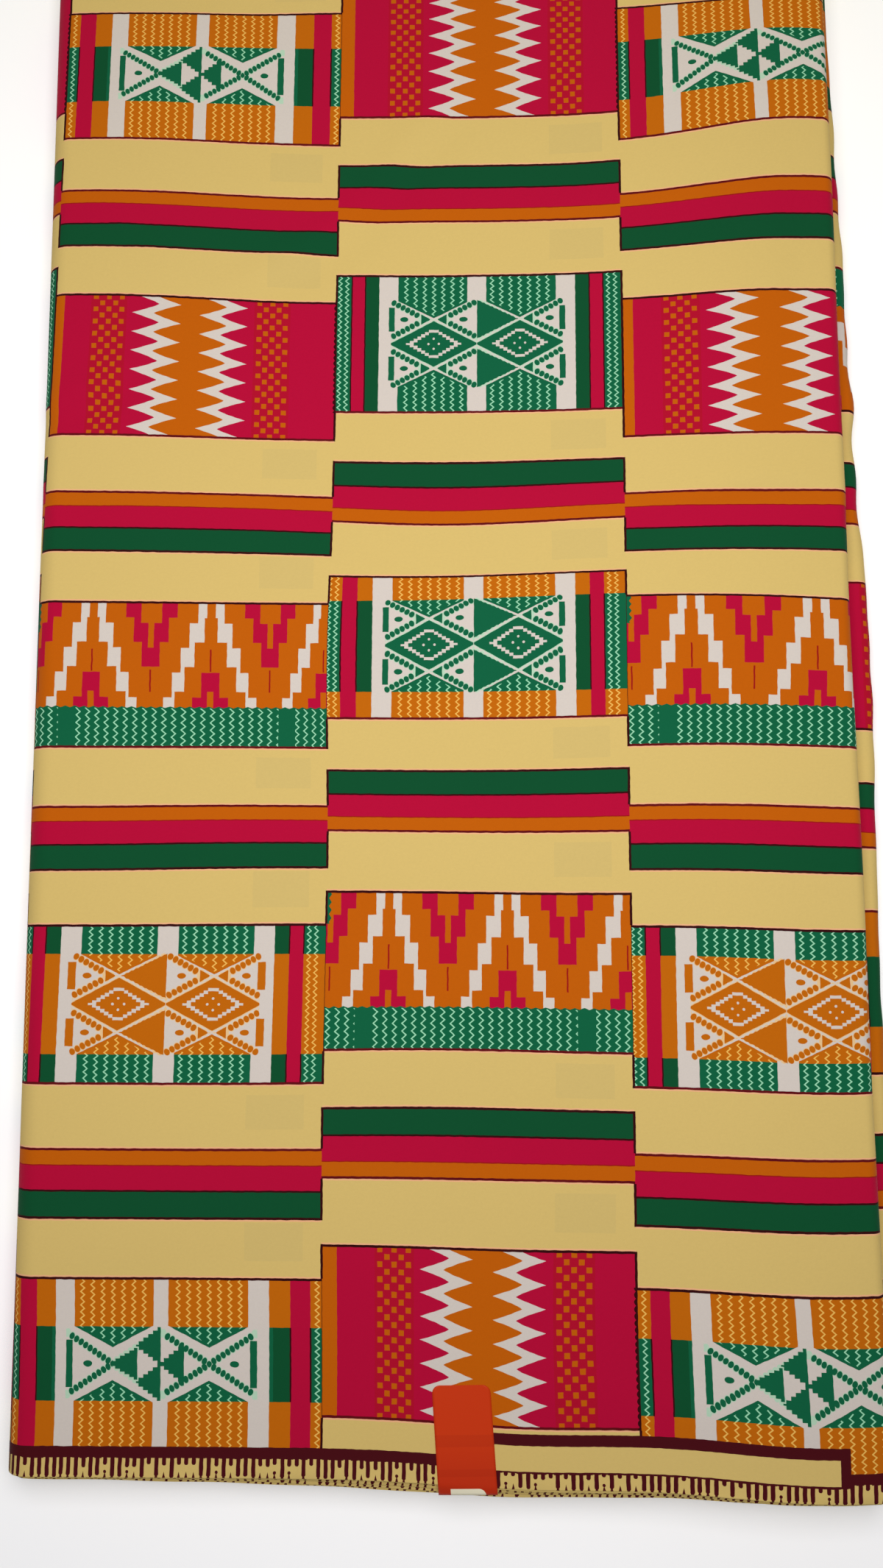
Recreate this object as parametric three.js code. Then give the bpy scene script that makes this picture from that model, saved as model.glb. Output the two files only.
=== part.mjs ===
// A length of printed cotton, folded for sale and lying flat, in millimetres with +Z up.
//
// The cloth is folded in half across its width, which puts both selvedges at the -Y end and a
// cross fold at the +Y end. It is then wound up flat into a bundle that is folded once more, so
// the outermost doubled ply is a closed band around a U of hidden plies: a broad bend on the left
// (-X), two rounded lobes on the right (+X), and two plies in the slot between the lobes.
import * as THREE from 'three';
import { mergeVertices } from 'three/addons/utils/BufferGeometryUtils.js';

// Driving sizes
const CLOTH_WIDTH = 1170;                 // selvedge to selvedge
const STACK_LENGTH = CLOTH_WIDTH / 2;     // selvedges at y = 0, cross fold at the far end
const PLY = 1.0;                          // wall of one doubled ply
const SEAM = 0.3;                         // clearance between neighbouring pieces
const LOBE_DEPTH = 5.5;                   // hidden plies pressed together in one lobe
const BED_GAP = 0.4;                      // between the two plies that lie in the slot
const LAYERS = 7;                         // doubled plies that show at the ends of each lobe

// Heights worked out from them
const LOBE_RADIUS = LOBE_DEPTH / 2;
const SLOT = 2 * (SEAM + PLY) + BED_GAP;
const COVER = SEAM + PLY;
const TOP = 2 * (COVER + LOBE_DEPTH) + SLOT;
const MID_Z = TOP / 2;
const BEND_RADIUS = SLOT / 2 + LOBE_DEPTH;
const LOWER_Z = COVER + LOBE_RADIUS;
const UPPER_Z = TOP - COVER - LOBE_RADIUS;

// Ends of the hidden plies
const SELVEDGE_REACH = 2.6;               // how far they pass the outer ply's selvedge
const FOLD_RETREAT = 2.0;                 // how far they stay inside the cross fold
const LAYER_RIDGE = 0.6;                  // each ply's rounded edge
const LAYER_STAGGER = 0.5;                // plies end a little unevenly

// The sticker on the top ply's selvedge
const LABEL_WIDTH = 19.6;
const LABEL_TOP_Y = 31.9;
const LABEL_REACH = 3.7;                  // past the selvedge
const LABEL_DROP = 1.0;                   // bends down over the selvedge
const LABEL_CENTRE_X = -8.2;
const LABEL_CORNER = 2.6;
const LABEL_WALL = 0.6;
const LABEL_SLANT = THREE.MathUtils.degToRad(2.3);

// Mesh steps
const LENGTH_STEPS = 17;
const LEG_STEPS = 9;
const LOBE_STEPS = 6;
const BEND_STEPS = 8;
const LAYER_STEPS = 2 * LAYERS;

// Where the folded edges lie across the stack, at places along it
const EDGES = [
  { y: -10, left: -161.3, upper: 134.6, lower: 143.0 },
  { y: 60, left: -162.8, upper: 134.8, lower: 143.4 },
  { y: 130, left: -164.4, upper: 134.4, lower: 142.6 },
  { y: 200, left: -166.0, upper: 134.8, lower: 143.2 },
  { y: 250, left: -167.0, upper: 134.5, lower: 144.4 },
  { y: 300, left: -168.1, upper: 134.2, lower: 144.6 },
  { y: 345, left: -169.0, upper: 134.6, lower: 142.6 },
  { y: 400, left: -170.2, upper: 134.4, lower: 141.8 },
  { y: 470, left: -171.7, upper: 134.7, lower: 140.4 },
  { y: 530, left: -173.0, upper: 134.3, lower: 139.2 },
  { y: 600, left: -174.4, upper: 134.5, lower: 138.6 },
];

// Soft swells that lift the upper side where the folded plies crowd
const SWELLS = [
  { x: 95, y: 300, reachX: 62, reachY: 420, height: 3.2 },
  { x: 60, y: 560, reachX: 150, reachY: 170, height: 3.6 },
  { x: 104, y: 20, reachX: 46, reachY: 95, height: 2.0 },
  { x: -60, y: 610, reachX: 120, reachY: 130, height: 1.6 },
];

// Where handling has dragged the stack along its length
const PULLS = [
  { x: 125, y: 497, reachX: 55, reachY: 110, shift: 7.8 },
  { x: 120, y: 17, reachX: 60, reachY: 70, shift: -6.5 },
  { x: -150, y: 467, reachX: 60, reachY: 90, shift: 4.5 },
  { x: 85, y: 232, reachX: 60, reachY: 60, shift: 2.4 },
  { x: -45, y: 367, reachX: 90, reachY: 80, shift: -1.3 },
];

const edgeCurve = new THREE.CubicInterpolant(
  EDGES.map((edge) => edge.y),
  EDGES.flatMap((edge) => [edge.left, edge.upper, edge.lower]),
  3,
);

function edgesAt(y) {
  const [left, upper, lower] = edgeCurve.evaluate(y);
  return {
    bendX: left + BEND_RADIUS + COVER,
    upperX: upper - LOBE_RADIUS - COVER,
    lowerX: lower - LOBE_RADIUS - COVER,
  };
}

function sumOfHumps(humps, size, x, y) {
  const at = (hump) => hump[size]
    * Math.exp(-(((x - hump.x) / hump.reachX) ** 2) - ((y - hump.y) / hump.reachY) ** 2);
  return humps.reduce((sum, hump) => sum + at(hump), 0);
}

// Every height grows in proportion, so the underside stays flat and clearances only widen. A pull
// moves all the plies at a place together, so they stay clear of each other.
function placed(x, y, z) {
  const lift = 1 + sumOfHumps(SWELLS, 'height', x, y) / TOP;
  return new THREE.Vector3(x, y + sumOfHumps(PULLS, 'shift', x, y), z * lift);
}

// Stretches of a section. Each leaves out its last point, which starts the next stretch.
function leg(fromX, toX, z) {
  return Array.from({ length: LEG_STEPS }, (_, i) => (
    { x: THREE.MathUtils.lerp(fromX, toX, i / LEG_STEPS), z }));
}

function arc(centreX, centreZ, radius, fromDegrees, toDegrees, steps) {
  return Array.from({ length: steps }, (_, i) => {
    const angle = THREE.MathUtils.degToRad(THREE.MathUtils.lerp(fromDegrees, toDegrees, i / steps));
    return { x: centreX + radius * Math.cos(angle), z: centreZ + radius * Math.sin(angle) };
  });
}

// The closed section of the U of hidden plies, grown outward by an offset
function foldOutline(offset, y) {
  const { bendX, upperX, lowerX } = edgesAt(y);
  const lobe = LOBE_RADIUS + offset;
  return [
    ...leg(bendX, lowerX, LOWER_Z - lobe),
    ...arc(lowerX, LOWER_Z, lobe, -90, 90, LOBE_STEPS),
    ...leg(lowerX, bendX, LOWER_Z + lobe),
    ...arc(bendX, MID_Z, SLOT / 2 - offset, 270, 90, BEND_STEPS / 2),
    ...leg(bendX, upperX, UPPER_Z - lobe),
    ...arc(upperX, UPPER_Z, lobe, -90, 90, LOBE_STEPS),
    ...leg(upperX, bendX, UPPER_Z + lobe),
    ...arc(bendX, MID_Z, BEND_RADIUS + offset, 90, 270, BEND_STEPS),
  ];
}

// The same U as pairs of points across its plies, from the lower lobe's tip to the upper one's
function foldColumns(y) {
  const { bendX, upperX, lowerX } = edgesAt(y);
  const tip = (centreX, centreZ, side, angles) => angles.map((degrees) => {
    const angle = THREE.MathUtils.degToRad(degrees);
    const x = centreX + LOBE_RADIUS * Math.cos(angle);
    const half = side * LOBE_RADIUS * Math.sin(angle);
    return { outer: { x, z: centreZ + half }, slot: { x, z: centreZ - half } };
  });
  const run = (outers, slots) => outers.map((outer, i) => ({ outer, slot: slots[i] }));
  const rising = Array.from({ length: LOBE_STEPS / 2 }, (_, i) => (180 * i) / LOBE_STEPS);
  const falling = Array.from({ length: LOBE_STEPS / 2 + 1 }, (_, i) => 90 - (180 * i) / LOBE_STEPS);
  return [
    ...tip(lowerX, LOWER_Z, -1, rising),
    ...run(leg(lowerX, bendX, LOWER_Z - LOBE_RADIUS), leg(lowerX, bendX, LOWER_Z + LOBE_RADIUS)),
    ...run(arc(bendX, MID_Z, BEND_RADIUS, 270, 90, BEND_STEPS),
      arc(bendX, MID_Z, SLOT / 2, 270, 90, BEND_STEPS)),
    ...run(leg(bendX, upperX, UPPER_Z + LOBE_RADIUS), leg(bendX, upperX, UPPER_Z - LOBE_RADIUS)),
    ...tip(upperX, UPPER_Z, 1, falling),
  ];
}

// A mesh from faces given as corner points, with shared corners merged and empty faces dropped
function solidFromQuads(quads) {
  const positions = [];
  const addTriangle = (a, b, c) => {
    const area = new THREE.Triangle(a, b, c).getArea();
    if (area > 1e-6) positions.push(...a, ...b, ...c);
  };
  for (const [a, b, c, d] of quads) {
    addTriangle(a, b, c);
    addTriangle(a, c, d);
  }
  const geometry = new THREE.BufferGeometry();
  geometry.setAttribute('position', new THREE.Float32BufferAttribute(positions, 3));
  const solid = mergeVertices(geometry, 1e-4);
  solid.computeVertexNormals();
  return solid;
}

// Quads between neighbouring rows of points; a loop of rows or points closes on its start
function gridQuads(rows, { rowsClose = false, pointsClose = false } = {}) {
  const quads = [];
  const rowCount = rowsClose ? rows.length : rows.length - 1;
  const pointCount = pointsClose ? rows[0].length : rows[0].length - 1;
  for (let i = 0; i < rowCount; i += 1) {
    const row = rows[i];
    const next = rows[(i + 1) % rows.length];
    for (let j = 0; j < pointCount; j += 1) {
      const k = (j + 1) % row.length;
      quads.push([row[j], next[j], next[k], row[k]]);
    }
  }
  return quads;
}

const flipped = (quads) => quads.map(([a, b, c, d]) => [d, c, b, a]);

function lengthStations(fromY, toY) {
  return Array.from({ length: LENGTH_STEPS + 1 }, (_, i) => (
    THREE.MathUtils.lerp(fromY, toY, i / LENGTH_STEPS)));
}

// The doubled outer ply: a closed band with rounded rims at the selvedges and the cross fold
function outerPly() {
  const rim = PLY / 2;
  const ys = lengthStations(rim, STACK_LENGTH - rim);
  const wall = [
    ...ys.map((y) => ({ y, offset: SEAM + PLY })),
    { y: STACK_LENGTH, offset: SEAM + rim },
    ...ys.toReversed().map((y) => ({ y, offset: SEAM })),
    { y: 0, offset: SEAM + rim },
  ];
  const rows = wall.map(({ y, offset }) => foldOutline(offset, y).map(({ x, z }) => placed(x, y, z)));
  return solidFromQuads(gridQuads(rows, { rowsClose: true, pointsClose: true }));
}

// How far a layer's edge stands out at an end: a slow wave, and on each ply a rounded ridge of
// its own reach, which fades where the lobe closes
function layerReach(step, x, open) {
  const wave = 0.4 * Math.sin(x / 37) + 0.3 * Math.sin(x / 13 + 1);
  if (step % 2 === 0) return wave;
  const stagger = LAYER_STAGGER * Math.sin(step * 1.05 + x / 90);
  return wave + open * (LAYER_RIDGE + stagger);
}

// The hidden plies: one U-shaped rounded solid, layered at both ends
function innerLayers() {
  const nearY = -SELVEDGE_REACH;
  const farY = STACK_LENGTH - FOLD_RETREAT;
  const endRows = (y, outward) => foldColumns(y).map(({ outer, slot }) => {
    const open = Math.hypot(outer.x - slot.x, outer.z - slot.z) / LOBE_DEPTH;
    return Array.from({ length: LAYER_STEPS + 1 }, (_, step) => {
      const t = step / LAYER_STEPS;
      const x = THREE.MathUtils.lerp(outer.x, slot.x, t);
      const z = THREE.MathUtils.lerp(outer.z, slot.z, t);
      const point = placed(x, y, z);
      return point.setY(point.y + outward * layerReach(step, x, open));
    });
  });
  const near = endRows(nearY, -1);
  const far = endRows(farY, 1);
  // The end grid's border, once round: along the outer side, then back along the slot side
  const border = (rows) => [
    ...rows.map((row) => row[0]),
    ...rows.slice(1, -1).toReversed().map((row) => row[LAYER_STEPS]),
  ];
  const middle = lengthStations(nearY, farY).slice(1, -1).map((y) => {
    const columns = foldColumns(y);
    const points = [
      ...columns.map(({ outer }) => outer),
      ...columns.slice(1, -1).toReversed().map(({ slot }) => slot),
    ];
    return points.map(({ x, z }) => placed(x, y, z));
  });
  const sides = gridQuads([border(near), ...middle, border(far)], { pointsClose: true });
  return solidFromQuads([...flipped(sides), ...flipped(gridQuads(near)), ...gridQuads(far)]);
}

// The sticker: a thin plate made from the top ply's points, moved out, and bent over the selvedge
function label() {
  const half = LABEL_WIDTH / 2;
  const halfWidthAt = (y) => {
    const intoCorner = LABEL_CORNER - (LABEL_TOP_Y - y);
    if (intoCorner <= 0) return half;
    return half - LABEL_CORNER + Math.sqrt(LABEL_CORNER ** 2 - intoCorner ** 2);
  };
  const corner = [0, 0.3, 0.6, 0.85].map((part) => (
    LABEL_TOP_Y - LABEL_CORNER * (1 - Math.sqrt(1 - part ** 2))));
  const ys = [...corner, LABEL_TOP_Y - LABEL_CORNER, 25, 17, 8, 2, 0, -1.3, -2.6, -LABEL_REACH];
  const surface = (y, across, raise) => {
    const x = LABEL_CENTRE_X + across * halfWidthAt(y) - (y - LABEL_TOP_Y) * Math.sin(LABEL_SLANT);
    const point = placed(x, Math.max(y, 0), TOP);
    const past = Math.max(0, -y);
    return new THREE.Vector3(x, point.y - past, point.z + raise - LABEL_DROP * (past / LABEL_REACH) ** 1.5);
  };
  const across = [-1, -0.5, 0, 0.5, 1];
  const rows = ys.map((y) => [
    ...across.map((u) => surface(y, u, SEAM + LABEL_WALL)),
    ...across.toReversed().map((u) => surface(y, u, SEAM)),
  ]);
  const end = (row) => across.slice(1).map((_, i) => {
    const last = row.length - 1;
    return [row[i], row[i + 1], row[last - i - 1], row[last - i]];
  });
  return solidFromQuads([
    ...gridQuads(rows, { pointsClose: true }), ...end(rows[0]), ...flipped(end(rows.at(-1)))]);
}

function part(name, geometry, color, roughness) {
  const mesh = new THREE.Mesh(geometry, new THREE.MeshStandardMaterial({ color, roughness, metalness: 0 }));
  mesh.name = name;
  return mesh;
}

const cloth = new THREE.Group();
cloth.add(
  part('outer_ply', outerPly(), 0xdcc470, 0.8),
  part('inner_layers', innerLayers(), 0xc40d3e, 0.85),
  part('label', label(), 0xc2380f, 0.45),
);

// The origin is under the middle of the stack
const middle = new THREE.Box3().setFromObject(cloth, true).getCenter(new THREE.Vector3());
cloth.position.set(-middle.x, -middle.y, 0);

export default cloth;
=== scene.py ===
"""The looks of a folded length of wax print cotton: its cloth, plies, sticker and studio.

Lengths are millimetres until a mesh is made. The stack's plan has x across the folds and y along
them, with y = 0 at the top ply's selvedge.
"""

import logging
import math
from dataclasses import dataclass
from enum import Enum
from typing import Callable, Iterable, Sequence

import bpy
import numpy as np
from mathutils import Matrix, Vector


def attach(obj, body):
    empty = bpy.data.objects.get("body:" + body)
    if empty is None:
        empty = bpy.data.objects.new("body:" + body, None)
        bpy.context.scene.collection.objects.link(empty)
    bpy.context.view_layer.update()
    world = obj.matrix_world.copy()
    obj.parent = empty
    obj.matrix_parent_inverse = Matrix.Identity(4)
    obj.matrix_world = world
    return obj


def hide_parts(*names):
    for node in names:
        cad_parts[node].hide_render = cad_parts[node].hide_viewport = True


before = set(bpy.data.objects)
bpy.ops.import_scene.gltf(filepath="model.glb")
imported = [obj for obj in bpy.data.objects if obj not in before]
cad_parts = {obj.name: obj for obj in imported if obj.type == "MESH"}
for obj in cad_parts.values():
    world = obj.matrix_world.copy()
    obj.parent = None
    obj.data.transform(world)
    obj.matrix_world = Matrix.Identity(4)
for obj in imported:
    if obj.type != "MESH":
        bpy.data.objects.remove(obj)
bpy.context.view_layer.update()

log = logging.getLogger("wax_print")

MM = 0.001
PLAN_ORIGIN = (14.688, -289.796)        # where the plan's zero lies in the frame, in millimetres
PLACE = "print_place"                   # mesh attribute: along the print, across it, from the selvedge

Array = np.ndarray
Colour = tuple[float, float, float, float]


# ---- The shape of the folded stack ----

@dataclass(frozen=True)
class Hump:
    """A soft hump in the plan, in millimetres."""

    x: float
    y: float
    reach_x: float
    reach_y: float
    size: float

    def at(self, x: Array, y: Array) -> Array:
        """The hump's height at places in the plan."""
        across, along = (x - self.x) / self.reach_x, (y - self.y) / self.reach_y
        return self.size * np.exp(-(across**2) - along**2)


@dataclass(frozen=True)
class Crease:
    """A soft ridge in the top ply, or a trough where its height is below zero."""

    x: float
    y: float
    heading: float
    reach: float
    width: float
    height: float
    bow: float = 0.0

    def at(self, x: Array, y: Array) -> Array:
        """The crease's height at places in the plan."""
        turn = math.radians(self.heading)
        along = (x - self.x) * math.cos(turn) + (y - self.y) * math.sin(turn)
        across = (y - self.y) * math.cos(turn) - (x - self.x) * math.sin(turn)
        across = across - self.bow * (along / self.reach) ** 2
        return self.height * np.exp(-((along / self.reach) ** 2) - (across / self.width) ** 2)


@dataclass(frozen=True)
class Edge:
    """Where the folded edges lie across the stack at one place along it."""

    y: float
    left: float
    upper: float
    lower: float


EDGES = (
    Edge(-10, -161.3, 134.6, 143.0), Edge(60, -162.8, 134.8, 143.4), Edge(130, -164.4, 134.4, 142.6),
    Edge(200, -166.0, 134.8, 143.2), Edge(250, -167.0, 134.5, 144.4), Edge(300, -168.1, 134.2, 144.6),
    Edge(345, -169.0, 134.6, 142.6), Edge(400, -170.2, 134.4, 141.8), Edge(470, -171.7, 134.7, 140.4),
    Edge(530, -173.0, 134.3, 139.2), Edge(600, -174.4, 134.5, 138.6),
)

# the top's broad swells, in millimetres of lift
SWELLS = (
    Hump(95, 300, 62, 420, 3.2), Hump(60, 560, 150, 170, 3.6),
    Hump(104, 20, 46, 95, 2.0), Hump(-60, 610, 120, 130, 1.6),
)

# how far the cloth was pulled along the stack
PULLS = (
    Hump(125, 497, 55, 110, 7.8), Hump(120, 17, 60, 70, -6.0), Hump(-150, 467, 60, 90, 4.5),
    Hump(85, 232, 60, 60, 2.0), Hump(-45, 367, 90, 80, -1.3), Hump(15, 22, 42, 55, -3.1),
)

# how far the print has shifted on the top, across the folds and along them
ALONG_DRIFTS = (
    Hump(118, 400, 46, 160, 3.7), Hump(118, 285, 30, 40, 1.2), Hump(-140, 300, 50, 60, -1.8),
    Hump(-85, 5, 55, 75, 3.3), Hump(-165, 5, 45, 75, 4.4), Hump(112, 15, 50, 55, 2.8),
    Hump(140, 280, 26, 500, 2.6), Hump(-57, 279, 9, 45, -1.6), Hump(22, 50, 32, 45, -1.5),
    Hump(-85, 225, 38, 110, 1.2),
)

ACROSS_DRIFTS = (
    Hump(125, 495, 45, 40, 4.0), Hump(0, 530, 260, 34, 3.5), Hump(-15, 332, 45, 22, -2.2),
    Hump(58, 297, 80, 18, 3.0), Hump(-20, 135, 50, 30, 1.2), Hump(-30, 200, 60, 25, 1.3),
    Hump(118, 150, 35, 60, -1.4), Hump(85, 37, 45, 12, 1.0), Hump(-90, 212, 45, 30, 0.9),
)

CREASES = (
    Crease(-70, 444, 38, 34, 6.0, 0.8, bow=4.0), Crease(-62, 436, 38, 34, 6.5, -0.7, bow=4.0),
    Crease(-30, 487, 52, 26, 7.0, 0.7, bow=-3.0), Crease(-21, 483, 52, 26, 7.0, -0.6, bow=-3.0),
    Crease(-138, 446, 142, 16, 4.5, 0.45), Crease(-148, 376, 25, 26, 5.5, -1.1, bow=5.0),
    Crease(-152, 384, 25, 24, 5.0, 0.7, bow=4.0), Crease(-158, 340, 155, 20, 6.0, -1.0, bow=-4.0),
    Crease(-166, 346, 155, 14, 5.0, 0.9), Crease(99, 340, 3, 38, 6.0, -1.0, bow=-9.0),
    Crease(101, 348, 3, 36, 6.5, 0.9, bow=-9.0), Crease(-146, 268, 28, 22, 5.0, 0.6, bow=3.0),
    Crease(118, 418, 84, 46, 8.0, -0.5, bow=3.0), Crease(-118, 60, 12, 40, 11.0, -0.5, bow=4.0),
    Crease(62, 26, 172, 60, 9.0, 0.4, bow=-4.0), Crease(40, 560, 20, 70, 12.0, 0.7, bow=6.0),
    Crease(-100, 545, 160, 60, 10.0, -0.6, bow=5.0),
)


def smooth_curve(at: Array, knots: Array, values: Array) -> Array:
    """A smooth curve through values.

    Args:
        at: Places to read the curve at.
        knots: Rising places of the known values.
        values: The known values.

    Returns:
        The curve's values, with slopes taken from each knot's neighbours.
    """
    slopes = np.gradient(values, knots)
    i = np.clip(np.searchsorted(knots, at) - 1, 0, len(knots) - 2)
    gap = knots[i + 1] - knots[i]
    t = np.clip((at - knots[i]) / gap, 0.0, 1.0)
    return ((2 * t**3 - 3 * t**2 + 1) * values[i] + (t**3 - 2 * t**2 + t) * gap * slopes[i]
            + (3 * t**2 - 2 * t**3) * values[i + 1] + (t**3 - t**2) * gap * slopes[i + 1])


class Run(Enum):
    """The stretches of the fold's section, in the order that the outermost ply follows them."""

    UNDERSIDE = 0
    LOWER_LOBE = 1
    SLOT_FLOOR = 2
    SLOT_END = 3
    SLOT_ROOF = 4
    UPPER_LOBE = 5
    TOP = 6
    OUTER_BEND = 7


@dataclass(frozen=True)
class Section:
    """A line of stations round the fold, at several places along the stack (stations by places)."""

    x: Array
    z: Array
    out_x: Array
    out_z: Array

    def grown(self, offset: Array | float) -> tuple[Array, Array]:
        """Where the stations lie once moved out by an offset."""
        return self.x + self.out_x * offset, self.z + self.out_z * offset

    def length_run(self, offset: float) -> Array:
        """How far each station is along the section, measured at an offset."""
        x, z = self.grown(offset)
        steps = np.hypot(np.diff(x, axis=0), np.diff(z, axis=0))
        return np.vstack([np.zeros((1, x.shape[1])), np.cumsum(steps, axis=0)])


@dataclass(frozen=True)
class StackForm:
    """Sizes of the folded stack, the same as its solids have."""

    cloth_width: float = 1170.0
    ply: float = 1.0
    seam: float = 0.3
    lobe_depth: float = 5.5
    bed_gap: float = 0.4
    layers: int = 7

    @property
    def length(self) -> float:
        """From the selvedges to the cross fold."""
        return self.cloth_width / 2

    @property
    def cover(self) -> float:
        """The outermost ply and its seam."""
        return self.seam + self.ply

    @property
    def lobe_radius(self) -> float:
        """Half of one lobe's hidden plies."""
        return self.lobe_depth / 2

    @property
    def slot(self) -> float:
        """Between the hidden plies of the two lobes."""
        return 2 * self.cover + self.bed_gap

    @property
    def top(self) -> float:
        """Height of the pressed stack."""
        return 2 * (self.cover + self.lobe_depth) + self.slot

    def edges_at(self, y: Array) -> tuple[Array, Array, Array]:
        """Where the bend and the two lobes have their centres, at places along the stack."""
        knots = np.array([edge.y for edge in EDGES], float)
        left, upper, lower = (
            smooth_curve(y, knots, np.array([getattr(edge, name) for edge in EDGES], float))
            for name in ("left", "upper", "lower")
        )
        bend = left + self.slot / 2 + self.lobe_depth + self.cover
        inset = self.lobe_radius + self.cover
        return bend, upper - inset, lower - inset + self.lobe_ripple(y)

    def lobe_ripple(self, y: Array) -> Array:
        """Small uneven waves in the lower lobe's edge, where its cloth is slack."""
        slackest, reach, least = 385, 75, 0.35
        slack = np.exp(-(((y - slackest) / reach) ** 2)) + least
        fine = 0.55 * np.sin(y / 4.1 + 0.8 * np.sin(y / 23)) * np.sin(y / 37 + 1)
        return slack * (fine + 0.3 * np.sin(y / 9.7))

    def relief(self, x: Array, y: Array) -> Array:
        """How far swells and creases lift the top at places in the plan."""
        return sum(form.at(x, y) for form in (*SWELLS, *CREASES))

    def placed(self, x: Array, y: Array, z: Array) -> Array:
        """Points of the pressed stack moved to where the swollen, pulled one has them.

        Args:
            x: Across the folds.
            y: Along the folds.
            z: Height in the pressed stack.

        Returns:
            Points in metres, in the frame.
        """
        lift = 1 + self.relief(x, y) / self.top
        pulled = y + sum(pull.at(x, y) for pull in PULLS)
        points = np.stack([x + PLAN_ORIGIN[0], pulled + PLAN_ORIGIN[1], z * lift], axis=-1)
        return points * MM

    def section(self, y: Array, steps: dict[Run, Array]) -> Section:
        """Stations round the fold.

        Args:
            y: Places along the stack.
            steps: For each stretch wanted, where its stations lie from 0 to 1.

        Returns:
            The stations of those stretches, on the hidden plies' surface.
        """
        bend, upper, lower = self.edges_at(y)
        low, high = self.cover + self.lobe_radius, self.top - self.cover - self.lobe_radius
        middle, radius, turn = self.top / 2, self.lobe_radius, self.slot / 2
        legs = {
            Run.UNDERSIDE: (bend, lower, low - radius, -1),
            Run.SLOT_FLOOR: (lower, bend, low + radius, 1),
            Run.SLOT_ROOF: (bend, upper, high - radius, -1),
            Run.TOP: (upper, bend, high + radius, 1),
        }
        arcs = {
            Run.LOWER_LOBE: (lower, low, radius, -90, 90, 1),
            Run.SLOT_END: (bend, middle, turn, 270, 90, -1),
            Run.UPPER_LOBE: (upper, high, radius, -90, 90, 1),
            Run.OUTER_BEND: (bend, middle, turn + self.lobe_depth, 90, 270, 1),
        }
        parts = []
        for run in sorted(steps, key=lambda item: item.value):
            t = steps[run][:, None]
            flat = np.zeros((len(t), len(y)))
            if run in legs:
                start, end, z, out = legs[run]
                parts.append((start + (end - start) * t, flat + z, flat, flat + out))
                continue
            centre, centre_z, arc_radius, start, end, side = arcs[run]
            angle = np.radians(start + (end - start) * t)
            cos, sin = np.cos(angle), np.sin(angle)
            parts.append((centre + arc_radius * cos, flat + centre_z + arc_radius * sin,
                          flat + side * cos, flat + side * sin))
        return Section(*(np.vstack(column) for column in zip(*parts)))


def even(count: int, last: bool = False) -> Array:
    """Even steps from 0 towards 1, which is left out unless it is the last stretch."""
    return np.arange(count + (1 if last else 0)) / count


def crowded(count: int, power: float, at_end: bool) -> Array:
    """Steps from 0 towards 1 that crowd at one end."""
    t = np.arange(count) / count
    return 1 - (1 - t) ** power if at_end else t**power


# ---- Meshes ----

def mesh_object(name: str, points: Array, faces: Sequence[Sequence[int]],
                place: Array) -> bpy.types.Object:
    """A smooth mesh in the scene, whose points carry their place on the print.

    Args:
        name: The piece's name.
        points: Its points in metres.
        faces: Corner numbers of each face.
        place: Three numbers for each point, in millimetres.

    Returns:
        The new object, at the origin.
    """
    mesh = bpy.data.meshes.new(name)
    mesh.from_pydata(points.tolist(), [], faces)
    mesh.update()
    attribute = mesh.attributes.new(PLACE, "FLOAT_VECTOR", "POINT")
    attribute.data.foreach_set("vector", place.astype(np.float32).ravel())
    mesh.polygons.foreach_set("use_smooth", np.ones(len(mesh.polygons), bool))
    if signed_volume(mesh) < 0:
        mesh.flip_normals()
    mesh.update()
    return new_object(name, mesh)


def new_object(name: str, data: bpy.types.ID) -> bpy.types.Object:
    """An object with this data, in the scene."""
    thing = bpy.data.objects.new(name, data)
    bpy.context.scene.collection.objects.link(thing)
    return thing


def signed_volume(mesh: bpy.types.Mesh) -> float:
    """Above zero where a closed mesh's faces point outwards."""
    mesh.calc_loop_triangles()
    corners = np.empty(len(mesh.loop_triangles) * 3, np.int32)
    mesh.loop_triangles.foreach_get("vertices", corners)
    points = np.empty(len(mesh.vertices) * 3, np.float32)
    mesh.vertices.foreach_get("co", points)
    a, b, c = points.reshape(-1, 3)[corners.reshape(-1, 3)].astype(float).transpose(1, 0, 2)
    return float(np.einsum("ij,ij->", a, np.cross(b, c)))


def quads_round(stations: int, rows: int, closed: bool) -> list[tuple[int, ...]]:
    """Quads between neighbouring stations, each a ring of points."""
    spans = stations if closed else stations - 1
    i, j = np.meshgrid(np.arange(spans), np.arange(rows), indexing="ij")
    after, beside = (i + 1) % stations, (j + 1) % rows
    quads = np.stack([i * rows + j, after * rows + j, after * rows + beside, i * rows + beside], axis=-1)
    return [tuple(quad) for quad in quads.reshape(-1, 4).tolist()]


@dataclass(frozen=True)
class Hem:
    """One row of points along a shell's wall, and which layer of a doubled ply's selvedge it is on."""

    y: float
    offset: float
    layer: int = 0


UPPER_LAYER, UNDER_LAYER = 1, 2


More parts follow.
